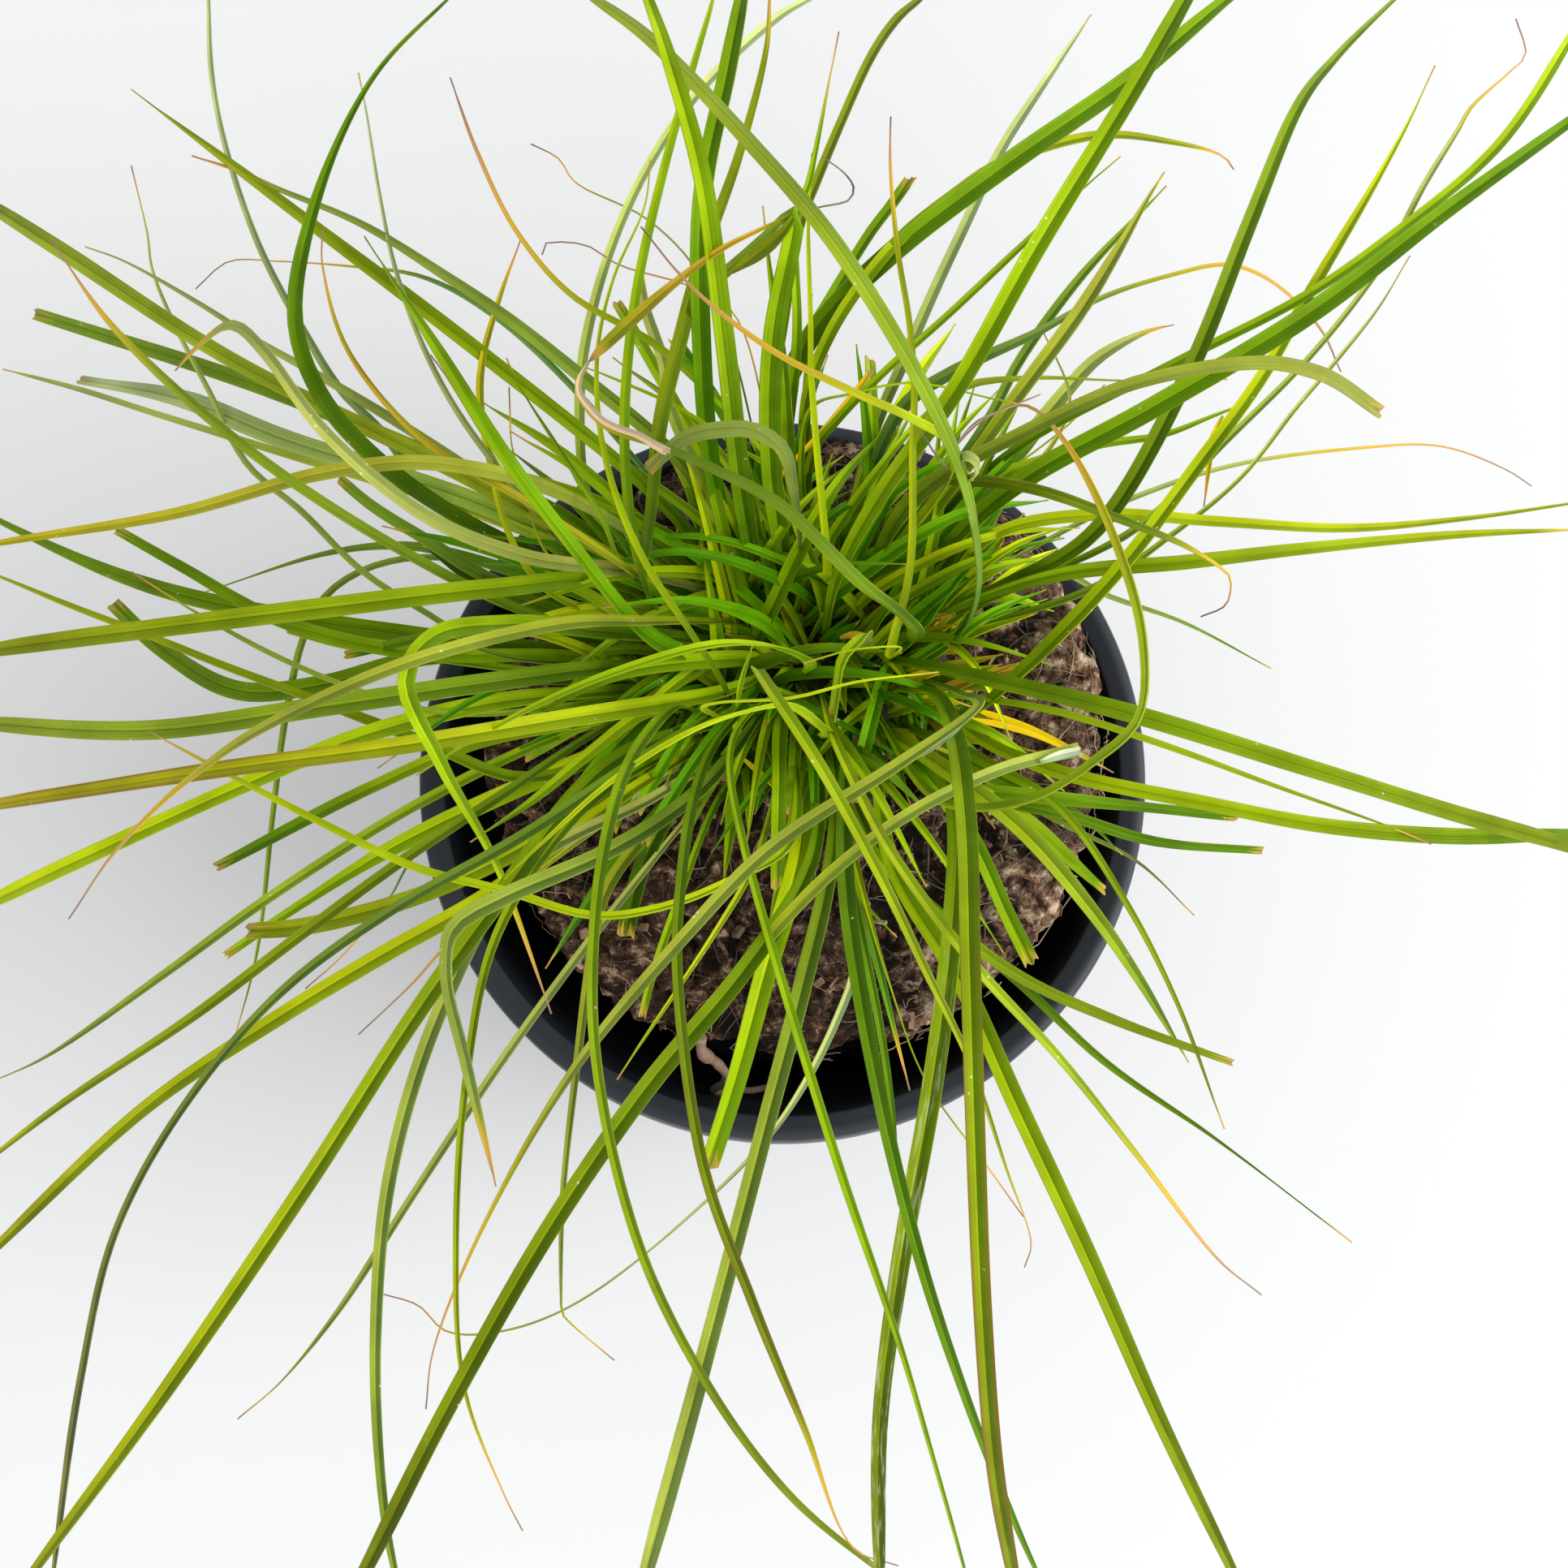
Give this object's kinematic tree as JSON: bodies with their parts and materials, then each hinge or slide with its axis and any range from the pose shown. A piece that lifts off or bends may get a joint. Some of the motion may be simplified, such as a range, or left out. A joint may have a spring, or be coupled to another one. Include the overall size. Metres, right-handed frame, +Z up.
{
  "type": "potted carex sedge",
  "caption": "Clump of arching green carex sedge leaves growing from a fibrous root ball that stands in a round black nursery pot.",
  "frame": {"origin": "centre of the pot's underside, on the surface it stands on", "axes": "+Z up; -Y towards the front, where the gap between root ball and pot is widest; +X to the right"},
  "size_m": [0.3032, 0.2819, 0.2726],
  "materials": {
    "pot_plastic": "injection moulded black plastic with a faint blue cast, satin, lightly scuffed",
    "peat": "rough fibrous peat compost bound by fine pale roots",
    "sheath": "matt yellow-green leaf sheaths, brown and papery at the foot",
    "root_skin": "smooth pinkish brown root skin",
    "leaf": "satin green sedge leaf, keeled, with fine parallel veins, yellowing edges and brown tips"
  },
  "bodies": {
    "root": {"pot": "pot_plastic", "root_ball": "peat", "crown": "sheath", "loose_root": "root_skin", "blade_left_1": "leaf", "blade_left_2": "leaf", "blade_left_3": "leaf", "blade_left_4": "leaf", "blade_left_5": "leaf", "blade_left_6": "leaf", "blade_left_7": "leaf", "blade_left_8": "leaf", "blade_left_9": "leaf", "blade_left_10": "leaf", "blade_left_11": "leaf", "blade_left_12": "leaf", "blade_left_13": "leaf", "blade_left_14": "leaf", "blade_left_15": "leaf", "blade_left_16": "leaf", "blade_left_17": "leaf", "blade_left_18": "leaf", "blade_left_19": "leaf", "blade_left_20": "leaf", "blade_left_21": "leaf", "blade_left_22": "leaf", "blade_left_23": "leaf", "blade_front_1": "leaf", "blade_front_2": "leaf", "blade_front_3": "leaf", "blade_front_4": "leaf", "blade_front_5": "leaf", "blade_front_6": "leaf", "blade_front_7": "leaf", "blade_front_8": "leaf", "blade_front_9": "leaf", "blade_front_10": "leaf", "blade_front_11": "leaf", "blade_front_12": "leaf", "blade_front_13": "leaf", "blade_front_14": "leaf", "blade_front_15": "leaf", "blade_front_16": "leaf", "blade_right_1": "leaf", "blade_right_2": "leaf", "blade_right_3": "leaf", "blade_right_4": "leaf", "blade_right_5": "leaf", "blade_right_6": "leaf", "blade_right_7": "leaf", "blade_right_8": "leaf", "blade_back_1": "leaf", "blade_back_2": "leaf", "blade_back_3": "leaf", "blade_back_4": "leaf", "blade_back_5": "leaf", "blade_back_6": "leaf"}
  },
  "joints": []
}
